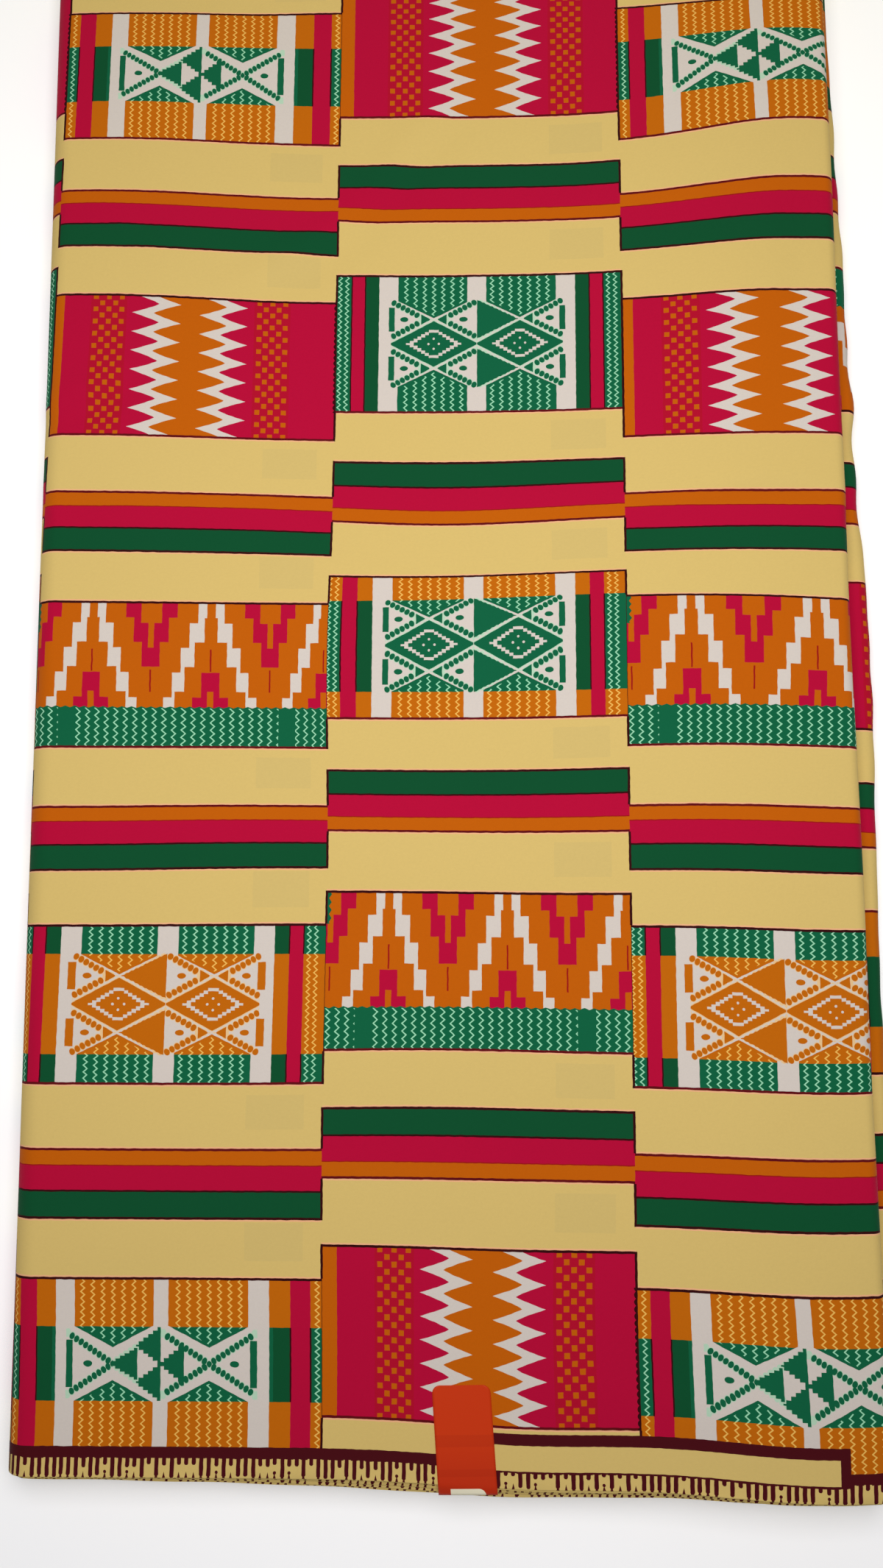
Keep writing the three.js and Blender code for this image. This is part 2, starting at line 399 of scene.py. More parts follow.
@dataclass
class ShellPlan:
    """A closed wall of cloth along part of the fold: fine outside, coarse inside, with rims."""

    form: StackForm
    steps: dict[Run, Array]
    near_rim: Sequence[Hem]
    far_rim: Sequence[Hem]
    outer_y: Array
    inner_every: int
    outside: float
    inside: float
    closed: bool = False

    def rows(self) -> tuple[list[Hem], list[int], list[int]]:
        """The wall's rows once round, with the outside's and the inside's places among them."""
        inner_y = self.outer_y[:: self.inner_every]
        outer = [Hem(y, self.outside) for y in self.outer_y]
        inner = [Hem(y, self.inside) for y in inner_y[::-1]]
        rows = [*outer, *self.far_rim, *inner, *self.near_rim]
        first_inner = len(outer) + len(self.far_rim)
        return rows, list(range(len(outer))), list(range(first_inner, first_inner + len(inner)))

    def caps(self, stations: int, rows: int) -> list[tuple[int, ...]]:
        """Small faces that close the wall at its first and last station."""
        _, outer, inner = self.rows()
        inner = inner[::-1]
        ring = [[outer[-1], *range(outer[-1] + 1, inner[-1]), inner[-1]],
                [inner[0], *range(inner[0] + 1, rows), outer[0]]]
        for k in range(len(inner) - 1):
            low, high = k * self.inner_every, (k + 1) * self.inner_every
            ring.append([*range(low, high + 1), inner[k + 1], inner[k]])
        last = (stations - 1) * rows
        first_cap = [tuple(face) for face in ring]
        return first_cap + [tuple(last + corner for corner in face[::-1]) for face in ring]

    def build(self, name: str, place: Callable[[Array, Array, Array], Array],
              ragged: Callable[[Array, Array], Array] | None = None,
              pucker: Callable[[Array, Array], Array] | None = None) -> bpy.types.Object:
        """Makes the shell.

        Args:
            name: The piece's name.
            place: Gives the print's place from the length run, x and y.
            ragged: Shift of a rim's points along the stack, from x and the row's layer.
            pucker: Extra height of the outside, from x and y.

        Returns:
            The closed shell.
        """
        rows, outer, _ = self.rows()
        y = np.array([row.y for row in rows])
        offset = np.array([row.offset for row in rows])
        section = self.form.section(y, self.steps)
        x, z = section.grown(offset)
        run = section.length_run(self.outside)
        plan_y = np.broadcast_to(y, x.shape).copy()
        if ragged is not None:
            plan_y += ragged(x, np.array([row.layer for row in rows]))
        if pucker is not None:
            share = np.isin(np.arange(len(rows)), outer) * section.out_z
            z = z + share * pucker(x, plan_y)
        points = self.form.placed(x, plan_y, np.maximum(z, 0.0)).reshape(-1, 3)
        faces = quads_round(*x.shape, self.closed)
        if not self.closed:
            faces += self.caps(*x.shape)
        return mesh_object(name, points, faces, place(run, x, plan_y).reshape(-1, 3))


@dataclass
class OuterCloth:
    """The outermost doubled ply, as its upper and lower runs round the fold."""

    form: StackForm
    outer_layer: float = 0.46
    rim: float = 0.5
    ply_slip: float = 0.55
    pucker_height: float = 0.05
    slot_end_steps: int = 2
    slot_steps: int = 26
    lobe_steps: int = 16
    top_steps: int = 144
    bend_steps: int = 22
    underside_steps: int = 56
    seen_column_line: float = 51.5
    seen_line_x: float = 127.0
    seen_row: float = 392.75
    seen_row_y: float = 283.6
    row_stretch: float = 0.965

    def ragged(self, x: Array, layer: Array) -> Array:
        """How unevenly the selvedges end: the under layer's slips out from under the upper one's."""
        wave = 0.12 * np.sin(x / 5.3) + 0.1 * np.sin(x / 2.1 + 2)
        slip = self.ply_slip * (0.5 + 0.5 * np.sin(x / 41 + 0.6)) + 0.25 * np.sin(x / 17)
        slipped = np.where(layer == UNDER_LAYER, -np.maximum(slip, -0.2), 0.0)
        return slipped - np.where(layer >= UPPER_LAYER, 0.25 * wave, 0.0)

    def near_rim(self) -> list[Hem]:
        """The two selvedges, from the inside of the ply to the outside."""
        outside, inside = self.form.cover, self.form.seam
        parting = outside - self.outer_layer
        under = ((0.12, inside + 0.02), (0.0, inside + 0.14), (-0.02, inside + 0.27),
                 (0.04, parting - 0.14), (0.2, parting - 0.06))
        upper = ((0.9, parting - 0.02), (0.9, parting + 0.02), (0.16, parting + 0.06),
                 (0.03, parting + 0.13), (0.0, outside - 0.22), (0.05, outside - 0.1),
                 (0.2, outside - 0.02))
        layers = ((under, UNDER_LAYER), (upper, UPPER_LAYER))
        return [Hem(y, offset, layer) for rim, layer in layers for y, offset in rim]

    def far_rim(self) -> list[Hem]:
        """The cross fold, a half round from the outside of the ply to the inside."""
        middle = (self.form.cover + self.form.seam) / 2
        angles = np.radians([65, 40, 15, -15, -40, -65])
        start = self.form.length - self.rim
        return [Hem(start + self.rim * math.cos(a), middle + self.rim * math.sin(a)) for a in angles]

    def shell(self, steps: dict[Run, Array], y_steps: int, every: int) -> ShellPlan:
        """The wall along some stretches of the fold."""
        outer_y = np.linspace(self.rim, self.form.length - self.rim, y_steps * every + 1)
        return ShellPlan(self.form, steps, self.near_rim(), self.far_rim(), outer_y, every,
                         outside=self.form.cover, inside=self.form.seam)

    def pucker(self, x: Array, y: Array) -> Array:
        """The faint unevenness of woven cloth lying on cloth."""
        fine = np.sin(x / 7.1 + 1.7 * np.sin(y / 31)) * np.sin(y / 9.3 + 0.9 * np.sin(x / 27))
        broad = 0.8 * np.sin(x / 15.3 + y / 22.1) + 0.6 * np.sin(y / 17.9 - x / 33.0)
        return self.pucker_height * (fine + broad)

    def upper(self) -> bpy.types.Object:
        """The run that shows: the left bend, the top, the upper lobe and the slot's roof."""
        steps = {
            Run.SLOT_END: 0.5 + 0.5 * even(self.slot_end_steps),
            Run.SLOT_ROOF: crowded(self.slot_steps, 1.8, at_end=True),
            Run.UPPER_LOBE: even(self.lobe_steps), Run.TOP: even(self.top_steps),
            Run.OUTER_BEND: even(self.bend_steps, last=True),
        }
        top_start = self.slot_end_steps + self.slot_steps + self.lobe_steps

        def place(run: Array, x: Array, y: Array) -> Array:
            """The print's own place: x itself on the top, and the cloth's length round the folds."""
            along = x[top_start] - (run - run[top_start])
            drift_u = sum(drift.at(x, y) for drift in ALONG_DRIFTS)
            drift_v = sum(drift.at(x, y) for drift in ACROSS_DRIFTS)
            return np.stack([along - drift_u, y - drift_v, y], axis=-1)

        shell = self.shell(steps, y_steps=58, every=4)
        return shell.build("cloth_upper", place, self.ragged, self.pucker)

    def lower(self) -> bpy.types.Object:
        """The run below: the slot's floor, the lower lobe and the underside."""
        steps = {
            Run.UNDERSIDE: crowded(self.underside_steps, 1.3, at_end=True),
            Run.LOWER_LOBE: even(self.lobe_steps),
            Run.SLOT_FLOOR: crowded(self.slot_steps, 1.8, at_end=False),
            Run.SLOT_END: 0.5 * even(self.slot_end_steps, last=True),
        }
        floor_start = self.underside_steps + self.lobe_steps

        def place(run: Array, x: Array, y: Array) -> Array:
            """The print's own place: this run shows it turned end for end."""
            past_line = x[floor_start] - self.seen_line_x
            along = self.seen_column_line + past_line - (run - run[floor_start])
            return np.stack([along, self.seen_row - (y - self.seen_row_y) * self.row_stretch, y], axis=-1)

        return self.shell(steps, y_steps=48, every=4).build("cloth_lower", place, self.ragged)


@dataclass
class InnerPlies:
    """The hidden plies: a plain core, and at each end the plies' edges, nested like the fold."""

    form: StackForm
    depth_of_ends: float = 14.0
    far_inset: float = 1.4
    gap: float = 0.05
    overlap: float = 1.0
    hollow: float = 0.3
    core_steps: int = 40
    seed: int = 7
    spreads: tuple[tuple[float, float, float], ...] = ((-22, 55, 0.55), (60, 60, 0.2))

    @property
    def thickness(self) -> float:
        """One doubled ply."""
        return self.form.lobe_depth / self.form.layers

    def steps(self, fine: int) -> dict[Run, Array]:
        """Stations once round the fold."""
        return {
            Run.UNDERSIDE: even(fine), Run.LOWER_LOBE: even(10), Run.SLOT_FLOOR: even(fine),
            Run.SLOT_END: even(6), Run.SLOT_ROOF: even(fine), Run.UPPER_LOBE: even(10),
            Run.TOP: even(fine), Run.OUTER_BEND: even(16),
        }

    def reach(self, x: Array, layer: int) -> Array:
        """How far one ply's selvedge passes the outermost one's."""
        step = 0.5
        for middle, reach, size in self.spreads:
            step = step + size * np.exp(-(((x - middle) / reach) ** 2))
        wave = 0.22 * np.sin(x / 23 + 1.9 * layer) + 0.12 * np.sin(x / 6.1 + 2.3 * layer)
        return 0.1 + 1.12 * (layer + 0.55) * step + wave

    def band(self, layer: int, near: bool) -> bpy.types.Object:
        """One doubled ply's edge: a thin closed band with a split, rounded rim."""
        form = self.form
        outside = -self.thickness * layer - self.gap
        inside = max(-self.thickness * (layer + 1) + self.gap, -form.lobe_radius + 0.02)
        rng = np.random.default_rng(self.seed + layer)
        slip, phase = rng.uniform(0.1, 0.5), rng.uniform(0, 400)
        middle = (outside + inside) / 2
        if near:
            rim = [Hem(0.0, inside + 0.12, UNDER_LAYER), Hem(0.02, middle - 0.08, UNDER_LAYER),
                   Hem(0.5, middle, UPPER_LAYER), Hem(0.02, middle + 0.08, UPPER_LAYER),
                   Hem(0.0, outside - 0.12, UPPER_LAYER)]
            root = [Hem(self.depth_of_ends, middle)]
            outer_y = np.array([0.12, 1.0, 3.0, self.depth_of_ends - 0.5])
        else:
            end = form.length - self.far_inset - 0.25 * (layer % 3)
            rim = [Hem(end + 0.24, outside - 0.1), Hem(end + 0.34, middle), Hem(end + 0.24, inside + 0.1)]
            root = [Hem(end - self.depth_of_ends, middle)]
            outer_y = np.linspace(end - self.depth_of_ends + 0.5, end, 4)
        plan = ShellPlan(form, self.steps(70), rim if near else root, root if near else rim, outer_y, 3,
                         outside=outside, inside=inside, closed=True)

        def ragged(x: Array, hem_layer: Array) -> Array:
            """Moves the ply's end out past the outermost one's, its under layer a little less."""
            if not near:
                return 0.3 * np.sin(x / 31 + 1.3 * layer)
            return np.where(hem_layer == UNDER_LAYER, slip, 0.0) - self.reach(x, layer)

        def place(run: Array, x: Array, y: Array) -> Array:
            """The print near this ply's selvedge, or far along it at the other end."""
            own = y + self.reach(x, layer) if near else y
            return np.stack([phase + run, own + (0 if near else 7 * layer), own], axis=-1)

        name = f"ply_{'near' if near else 'far'}_{layer}"
        return plan.build(name, place, ragged)

    def core(self) -> bpy.types.Object:
        """The plies away from the ends, as one closed block."""
        form = self.form
        near, far = self.depth_of_ends - self.overlap, form.length - self.depth_of_ends - self.overlap
        inside = -form.lobe_radius + self.hollow
        outer_y = np.linspace(near, far, self.core_steps + 1)
        plan = ShellPlan(form, self.steps(24), [Hem(near, inside)], [Hem(far, inside)], outer_y,
                         self.core_steps, outside=-self.gap, inside=inside, closed=True)
        return plan.build("ply_core", lambda run, x, y: np.stack([run, y, y], axis=-1))

    def build(self) -> bpy.types.Object:
        """All the hidden plies, joined as one piece."""
        count = (self.form.layers + 1) // 2
        parts = [self.core()]
        parts += [self.band(layer, near) for near in (True, False) for layer in range(count)]
        return joined("inner_plies", parts)


def joined(name: str, parts: Sequence[bpy.types.Object]) -> bpy.types.Object:
    """Several objects made into one."""
    with bpy.context.temp_override(active_object=parts[0], object=parts[0], selected_objects=list(parts),
                                   selected_editable_objects=list(parts)):
        bpy.ops.object.join()
    parts[0].name = parts[0].data.name = name
    return parts[0]


@dataclass
class Sticker:
    """The blank paper sticker, which lies on the top ply and bends down over the selvedge."""

    form: StackForm
    width: float = 19.6
    top_y: float = 31.9
    reach: float = 3.0
    drop: float = 1.0
    bend_y: float = 0.3
    centre_x: float = -8.9
    corner: float = 2.6
    slant: float = 4.2
    level: float = 0.08
    lift: float = 0.06
    thickness: float = 0.22
    across: int = 20
    along: int = 44

    def half_width(self, y: Array) -> Array:
        """Half the sticker's width at places along it, narrower in its rounded top corners."""
        into = np.clip(self.corner - (self.top_y - y), 0.0, self.corner)
        return self.width / 2 - self.corner + np.sqrt(self.corner**2 - into**2)

    def surface(self, x: Array, y: Array, lift: Array) -> Array:
        """Points at a height over the top ply, in metres."""
        y = y + self.level * (x - self.centre_x)
        held = np.maximum(y, self.bend_y)
        past = np.maximum(self.bend_y - y, 0.0)
        points = self.form.placed(x, held, np.full_like(x, self.form.top))
        points[..., 1] -= past * MM
        points[..., 2] += (lift - self.drop * (past / self.reach) ** 1.5) * MM
        return points

    def build(self) -> bpy.types.Object:
        """The sticker as a thin closed sheet with rounded top corners."""
        corner_y = self.top_y - self.corner * (1 - np.cos(np.linspace(0.0, math.pi / 2, 8)))
        y = np.concatenate([corner_y, np.linspace(self.top_y - self.corner, -self.reach, self.along)[1:]])
        t = np.linspace(-1, 1, self.across + 1)
        top = [(value, self.lift + self.thickness) for value in t]
        bottom = [(value, self.lift) for value in t[::-1]]
        ring = np.array(top + bottom)
        yy, side = np.meshgrid(y, ring[:, 0], indexing="ij")
        lift = np.broadcast_to(ring[:, 1], yy.shape)
        lean = (yy - self.top_y) * math.sin(math.radians(self.slant))
        x = self.centre_x + side * self.half_width(yy) - lean
        points = self.surface(x, yy, lift)
        count = ring.shape[0]
        faces = quads_round(len(y), count, closed=False)
        sides, last = len(faces), (len(y) - 1) * count
        faces += [tuple(range(count)), tuple(range(last, last + count))[::-1]]
        place = np.stack([side * self.width / 2, yy, yy], axis=-1)
        sticker = mesh_object("sticker", points.reshape(-1, 3), faces, place.reshape(-1, 3))
        rims = (self.across, 2 * self.across + 1)
        for index, polygon in enumerate(sticker.data.polygons):
            polygon.use_smooth = index < sides and index % count not in rims
        return sticker


# ---- Studio ----

def set_inputs(node: bpy.types.Node, values: dict[str, float | Colour]) -> None:
    """Sets some of a node's inputs by name."""
    for title, value in values.items():
        node.inputs[title].default_value = value


@dataclass(frozen=True)
class Camera:
    """The camera, over the middle of the stack and tipped a little towards its far end."""

    x: float = -16.2
    y: float = 171.0
    height: float = 437.2
    tip: float = 8.465
    turn: float = 0.325
    focal_pixels: float = 1600.0
    image_height: float = 2131.0
    sensor: float = 36.0

    def build(self) -> None:
        """Makes the scene's camera."""
        data = bpy.data.cameras.new("camera")
        data.sensor_width = self.sensor
        data.lens = self.focal_pixels * self.sensor / self.image_height
        data.clip_start, data.clip_end = 0.01, 20.0
        camera = new_object("camera", data)
        camera.location = Vector((self.x + PLAN_ORIGIN[0], self.y + PLAN_ORIGIN[1], self.height)) * MM
        camera.rotation_euler = (math.radians(self.tip), 0.0, math.radians(self.turn))
        bpy.context.scene.camera = camera


@dataclass(frozen=True)
class SoftBox:
    """One large soft lamp."""

    name: str
    place: tuple[float, float, float]
    aim: tuple[float, float, float]
    size: tuple[float, float]
    power: float
    colour: tuple[float, float, float]

    def build(self) -> None:
        """Makes the lamp."""
        data = bpy.data.lights.new(self.name, "AREA")
        data.shape = "RECTANGLE"
        data.size, data.size_y = self.size
        data.energy = self.power
        data.color = self.colour
        lamp = new_object(self.name, data)
        lamp.location = self.place
        direction = Vector(self.aim) - Vector(self.place)
        lamp.rotation_euler = direction.to_track_quat("-Z", "Y").to_euler()


@dataclass(frozen=True)
class Studio:
    """A plain pale floor under soft light."""

    floor_half: float = 6.0
    floor_drop: float = 0.0002
    floor_colour: Colour = (0.92, 0.92, 0.92, 1.0)
    floor_roughness: float = 0.9
    floor_specular: float = 0.1
    floor_glow: float = 0.2
    sky_colour: Colour = (0.97, 0.98, 1.0, 1.0)
    sky_strength: float = 0.2
    lamps: tuple[SoftBox, ...] = (
        SoftBox("overhead", (0.0, 0.01, 0.54), (0.0, 0.01, 0.0), (0.45, 0.45), 3.1, (1.0, 0.985, 1.0)),
        SoftBox("back", (0.1, 0.75, 0.35), (0.0, 0.2, 0.0), (0.5, 0.3), 0.55, (1.0, 0.87, 0.05)),
    )

    def build(self) -> None:
        """Makes the floor, the sky and the lamps."""
        half = self.floor_half
        square = ((-half, -half), (half, -half), (half, half), (-half, half))
        corners = [(x, y, -self.floor_drop) for x, y in square]
        mesh = bpy.data.meshes.new("floor")
        mesh.from_pydata(corners, [], [(0, 1, 2, 3)])
        floor = new_object("floor", mesh)
        material = bpy.data.materials.new("floor_paper")
        material.use_nodes = True
        set_inputs(material.node_tree.nodes["Principled BSDF"], {
            "Base Color": self.floor_colour, "Roughness": self.floor_roughness,
            "Specular IOR Level": self.floor_specular, "Emission Color": (1.0, 1.0, 1.0, 1.0),
            "Emission Strength": self.floor_glow,
        })
        mesh.materials.append(material)
        world = bpy.data.worlds.new("sky")
        world.use_nodes = True
        set_inputs(world.node_tree.nodes["Background"],
                   {"Color": self.sky_colour, "Strength": self.sky_strength})
        bpy.context.scene.world = world
        for lamp in self.lamps:
            lamp.build()
        bpy.context.scene.view_settings.view_transform = "Standard"


# ---- Drawing with shader nodes ----

def ink(red: int, green: int, blue: int) -> Colour:
    """A colour given as a screen shows it, made linear."""
    parts = (value / 255 for value in (red, green, blue))
    linear = (part / 12.92 if part <= 0.04045 else ((part + 0.055) / 1.055) ** 2.4 for part in parts)
    return (*linear, 1.0)


@dataclass(frozen=True)
class Inks:
    """The print's colours."""

    cream: Colour = ink(210, 182, 109)
    crimson: Colour = ink(177, 8, 53)
    orange: Colour = ink(188, 91, 4)
    frame_orange: Colour = ink(188, 99, 6)
    green: Colour = ink(13, 94, 61)
    deep_green: Colour = ink(11, 76, 43)
    white: Colour = ink(207, 197, 188)
    maroon: Colour = ink(72, 12, 20)
    outline: Colour = ink(50, 7, 11)
    bleed: Colour = ink(238, 172, 134)
    soft_outline: Colour = ink(92, 9, 18)
    red_line: Colour = ink(150, 20, 18)
    pale_on_green: Colour = ink(152, 214, 176)
    pale_on_orange: Colour = ink(234, 184, 90)
    check_field: Colour = ink(172, 11, 42)
    shadow: Colour = ink(205, 179, 109)


INKS = Inks()


def arithmetic(operation: str, swapped: bool = False) -> Callable[["Field", "Number"], "Field"]:
    """An operator of Field.

    Args:
        operation: The maths node's operation.
        swapped: Whether the other value comes first.

    Returns:
        A method that adds the node.
    """
    def method(self: "Field", other: "Number") -> "Field":
        """One step of arithmetic."""
        values = (other, self) if swapped else (self, other)
        return self.sketch.math(operation, *values)

    return method


@dataclass(frozen=True)
class Field:
    """A number or colour that a node gives.

    Python's own operators carry on with it: < and > give masks of 0 and 1, & | ~ join them.
    """

    sketch: "Sketch"
    socket: bpy.types.NodeSocket

    __add__ = arithmetic("ADD")
    __sub__ = arithmetic("SUBTRACT")
    __rsub__ = arithmetic("SUBTRACT", swapped=True)
    __mul__ = arithmetic("MULTIPLY")
    __lt__ = arithmetic("LESS_THAN")
    __gt__ = arithmetic("GREATER_THAN")
    __and__ = arithmetic("MULTIPLY")
    __or__ = arithmetic("MAXIMUM")

    def __abs__(self) -> "Field":
        """Size without sign."""
        return self.sketch.math("ABSOLUTE", self)

    def __invert__(self) -> "Field":
        """1 where a mask is 0, and 0 where it is 1."""
        return 1.0 - self


Number = Field | float


class Sketch:
    """A shader node group being drawn."""

    def __init__(self, name: str, given: Sequence[str], gives: dict[str, str]) -> None:
        """Starts the group.

        Args:
            name: The group's name.
            given: Names of its numbers in.
            gives: Names of its outputs, with "Float" or "Color" for each.
        """
        self.tree = bpy.data.node_groups.new(name, "ShaderNodeTree")
        for title in given:
            self.tree.interface.new_socket(title, in_out="INPUT", socket_type="NodeSocketFloat")
        for title, kind in gives.items():
            self.tree.interface.new_socket(title, in_out="OUTPUT", socket_type=f"NodeSocket{kind}")
        source = self.tree.nodes.new("NodeGroupInput")
        self.sink = self.tree.nodes.new("NodeGroupOutput")
        self.given = [Field(self, source.outputs[title]) for title in given]

    def plug(self, socket: bpy.types.NodeSocket, value: Number | Colour) -> None:
        """Links a field to an input, or sets the input's own value."""
        if isinstance(value, Field):
            self.tree.links.new(value.socket, socket)
        else:
            socket.default_value = value

    def give(self, title: str, value: Field) -> None:
        """Sends a field out of the group."""
        self.plug(self.sink.inputs[title], value)

    def math(self, operation: str, *values: Number) -> Field:
        """One step of arithmetic."""
        node = self.tree.nodes.new("ShaderNodeMath")
        node.operation = operation
        for socket, value in zip(node.inputs, values):
            self.plug(socket, value)
        return Field(self, node.outputs[0])

    def call(self, tree: bpy.types.ShaderNodeTree, *values: Number) -> list[Field]:
        """Uses another group, and gives its outputs."""
        node = self.tree.nodes.new("ShaderNodeGroup")
        node.node_tree = tree
        for socket, value in zip(node.inputs, values):
            self.plug(socket, value)
        return [Field(self, socket) for socket in node.outputs]

    def paint(self, under: Field | Colour, over: Field | Colour, where: Number) -> Field:
        """Lays one colour over another where a mask says."""
        node = self.tree.nodes.new("ShaderNodeMix")
        node.data_type = "RGBA"
        for index, value in ((0, where), (6, under), (7, over)):
            self.plug(node.inputs[index], value)
        return Field(self, node.outputs[2])

    def ramp(self, at: Field, stops: Sequence[tuple[float, Colour]]) -> Field:
        """Flat bands of colour, each from its place up to the next."""
        node = self.tree.nodes.new("ShaderNodeValToRGB")
        node.color_ramp.interpolation = "CONSTANT"
        elements = node.color_ramp.elements
        while len(elements) < len(stops):
            elements.new(0.999)
        for element, (place, colour) in zip(elements, stops):
            element.position, element.color = place, colour
        self.plug(node.inputs[0], at)
        return Field(self, node.outputs[0])

    def nearest(self, value: Number, spacing: float) -> Field:
        """How far a number is from the nearest multiple of a spacing."""
        return self.math("PINGPONG", value, spacing / 2)

    def near(self, value: Number, middle: Number, half: float) -> Field:
        """1 where a number is within a reach of another."""
        return self.math("COMPARE", value, middle, half)

    def scaled(self, value: Number, factor: Number, add: Number) -> Field:
        """Product and sum in one step."""
        return self.math("MULTIPLY_ADD", value, factor, add)

    def floor(self, value: Number) -> Field:
        """Whole number at or below."""
        return self.math("FLOOR", value)

    def same(self, value: Number, number: float) -> Field:
        """1 where a counted number is this one."""
        return self.near(value, number, 0.1)

    def past(self, value: Number, start: float) -> Field:
        """How far a number is past a start, or 0."""
        return self.math("MAXIMUM", value - start, 0.0)

    def wrapped(self, value: Number, length: float) -> Field:
        """What is left of a number beyond whole lengths."""
        return self.math("FLOORED_MODULO", value, length)

    def squares(self, x: Field, y: Field) -> Field:
        """Sum of two squares."""
        return self.scaled(x, x, y * y)

    def noise(self, x: Field, y: Field, scale: float) -> list[Field]:
        """Three soft random numbers round 0.5 at a place in the plane."""
        place = self.tree.nodes.new("ShaderNodeCombineXYZ")
        self.plug(place.inputs[0], x)
        self.plug(place.inputs[1], y)
        node = self.tree.nodes.new("ShaderNodeTexNoise")
        node.noise_dimensions = "2D"
        self.tree.links.new(place.outputs[0], node.inputs["Vector"])
        set_inputs(node, {"Scale": scale, "Detail": 0.0})
        return self.channels(node)

    def chance(self, number: Field) -> list[Field]:
        """Three random numbers from 0 to 1 for each whole number."""
        node = self.tree.nodes.new("ShaderNodeTexWhiteNoise")
        node.noise_dimensions = "1D"
        self.plug(node.inputs["W"], number)
        return self.channels(node)

    def channels(self, source: bpy.types.Node) -> list[Field]:
        """The three numbers in a node's colour."""
        node = self.tree.nodes.new("ShaderNodeSeparateColor")
        self.tree.links.new(source.outputs["Color"], node.inputs[0])
        return [Field(self, socket) for socket in node.outputs]


# ---- The print ----

@dataclass(frozen=True)
class WaxPrint:
    """The kente print: columns of blocks and stripes on cream, and the selvedge.

    Each column holds a block and a band of stripes in turn, and every other column is shifted.
    Blocks come in three makes: framed ones with triangles, stepped ones and flamed ones.
    """

    inks: Inks = INKS
    column: float = 108.5
    column_start: float = -57.8
    row: float = 119.0
    first_row: float = 19.3
    shift: float = 11.2
    block: float = 55.3
    stripes_middle: float = 88.45
    stripes_shift: float = 2.5
    stripes_half: float = 11.75
    middle: float = 53.7
    line: float = 0.84
    column_line_half: float = 0.42
    selvedge: float = 9.8
    wobble: float = 0.2
    bleed: float = 0.5
    bleed_strength: float = 0.8

    def framed(self) -> bpy.types.ShaderNodeTree:
        """A block of bars and zigzag lines round a middle of lozenges, triangles and beads."""
        given = ("Across", "Along", "Turned", "Narrow", "Middle orange", "Ends orange")
        s = Sketch("framed_block", given, {"Colour": "Color"})
        p, h, turned, narrow, middle, ends = s.given
        inks, half_middle, thread_pitch = self.inks, 16.4, 2.2
        b = abs(h - self.block / 2)
        side = p - self.middle
        beyond = s.past(side, 31.0)
        a = s.scaled(beyond & narrow, -0.12, abs(side))
        w = abs(a - half_middle)
        vee = s.scaled(w, -0.5, s.scaled(narrow, 5.1, -10.3)) + b
        cross = abs(s.scaled(narrow, 9.8, -9.8) + b)
        inside = s.scaled(w, s.scaled(narrow, 0.07, 0.55), cross * -1.0)
        # beads along the triangles' sides
        bead_along = s.scaled(cross, 0.55, w) * s.scaled(narrow, 0.08, 0.79)
        bead_along = s.scaled(narrow, -1.45, bead_along + 1.45)
        bead_across = s.scaled(narrow, 1.8, inside - 1.8) * 0.74
        bead_near = s.nearest(bead_along, 1.83) * 1.14
        bead_reach = s.squares(bead_near, bead_across)
        beads = ((bead_reach < 1.0)
                 & s.near(bead_along, s.scaled(narrow, -3.7, 11.9), s.scaled(narrow, 3.7, 5.5)))
        # what lies in the triangles' middles
        oval = s.scaled(narrow, 2.7, w - 11.3) * 0.64
        oval = s.squares(oval, cross) < 1.0
        arrow = (inside > 0.62) & s.near(w, 3.2, 1.7) & ~narrow
        stepped_a = s.math("SNAP", a + 0.5, 1.6)
        spur = (s.scaled(stepped_a, -0.76, b) < 0.7) & (a < 7.9) & narrow
        outer = a > half_middle
        bar_at = s.scaled(narrow, -1.1, s.scaled(middle, 0.6, 16.1))
        bar = s.near(w, bar_at, s.scaled(middle, 0.3, 1.12)) & outer
        bar = bar & (cross < s.scaled(narrow, 2.7, 4.8))
        beaded = beads | arrow | (oval & (outer | ~narrow)) | bar | spur
        # solid triangles on one side of the middle
        narrow_solid = (s.scaled(stepped_a, 0.53, b) < 9.3) & (a > 7.9)
        narrow_solid = narrow_solid | ((s.scaled(stepped_a, 0.7, abs(b - 5.8)) < 5.9) & (a < 8.4))
        notch = s.nearest(w, 1.6) * 0.3
        wide_solid = (s.scaled(w, 0.5, notch - 0.5) > cross) & s.near(w, 8.4, 7.9)
        solid = s.scaled(narrow_solid - wide_solid, narrow, wide_solid)
        solid = solid & (a < s.scaled(narrow, 1.2, 16.2))
        turn_side = (s.scaled(turned, -2.0, 1.0) * side) > 0.0
        solid_side = turn_side & ~outer
        motif = s.scaled(solid - beaded, solid_side, beaded)
        # lozenges with a stepped ring and four dots
        step = s.math("SNAP", s.past(w, 0.4), 1.45)
        ring = (s.scaled(step, 0.6, b) < 5.6) - (s.scaled(step, 0.66, b) < 4.55)
        far, close = s.math("MAXIMUM", w, b) - 2.0, s.math("MINIMUM", w, b)
        dots = s.squares(far, close) < 0.2
        lozenge_reach = s.scaled(w, 0.54, b)
        lozenge = (lozenge_reach < 9.15) & (w < 16.3) & ~narrow & ~(ring | dots)
        motif = motif | lozenge
        field_part = s.near(a, s.scaled(narrow, -0.75, 16.85), s.scaled(narrow, 0.35, 13.25))
        field_part = field_part & (vee > 0.0)
        wave = s.nearest(h, thread_pitch) * 1.18
        lines = (s.nearest(wave + (a - 17.05), 3.53) < 0.31) & (vee > 1.0) & (w < 12.4)
        strip_line = s.nearest(s.scaled(narrow, -1.25, wave + (a - 50.4)), 2.6)
        strip_lines = (strip_line < 0.29) & s.near(a, 50.9, s.scaled(narrow, -1.5, 2.4))
        lines = (lines & field_part) | strip_lines
